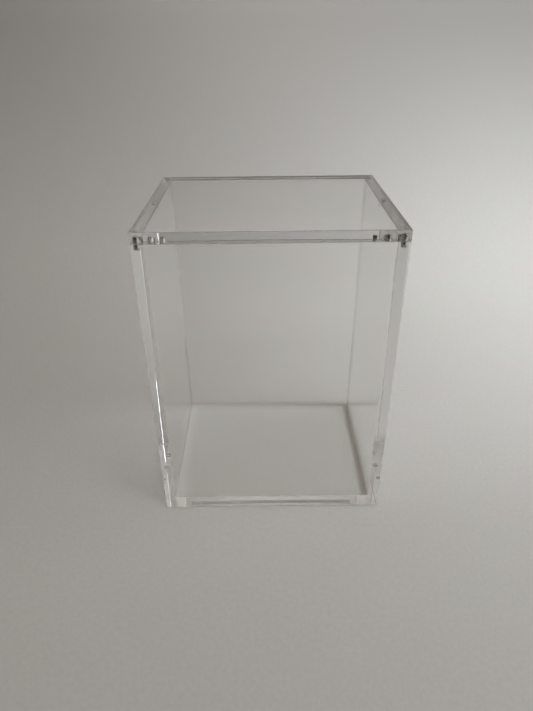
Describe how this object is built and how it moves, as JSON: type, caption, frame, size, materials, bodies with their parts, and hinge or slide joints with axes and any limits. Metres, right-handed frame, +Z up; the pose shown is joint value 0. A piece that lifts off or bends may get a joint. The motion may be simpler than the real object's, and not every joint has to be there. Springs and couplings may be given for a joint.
{
  "type": "display case",
  "caption": "Tall clear acrylic display case: a bonded five-panel box with a flat lift-off lid held by rod magnets in the side walls.",
  "frame": {"origin": "middle of the base panel's underside, on the surface that the case stands on", "axes": "+Z up, -Y is the front, X runs from the left side wall to the right one"},
  "size_m": [0.127, 0.1046, 0.171],
  "materials": {
    "clear_acrylic": "polished",
    "nickel_magnet": "polished"
  },
  "bodies": {
    "case": {"base_panel": "clear_acrylic", "front_panel": "clear_acrylic", "back_panel": "clear_acrylic", "left_panel": "clear_acrylic", "right_panel": "clear_acrylic", "wall_magnet_left_front": "nickel_magnet", "wall_magnet_left_middle": "nickel_magnet", "wall_magnet_left_back": "nickel_magnet", "wall_magnet_right_front": "nickel_magnet", "wall_magnet_right_middle": "nickel_magnet", "wall_magnet_right_back": "nickel_magnet"},
    "lid": {"lid_panel": "clear_acrylic", "lid_magnet_left_front": "nickel_magnet", "lid_magnet_left_middle": "nickel_magnet", "lid_magnet_left_back": "nickel_magnet", "lid_magnet_right_front": "nickel_magnet", "lid_magnet_right_middle": "nickel_magnet", "lid_magnet_right_back": "nickel_magnet"}
  },
  "joints": [
    {"name": "lid_lift", "type": "slide", "parent": "case", "child": "lid", "axis": [0, 0, 1], "range_m": [0, 0.18]}
  ]
}
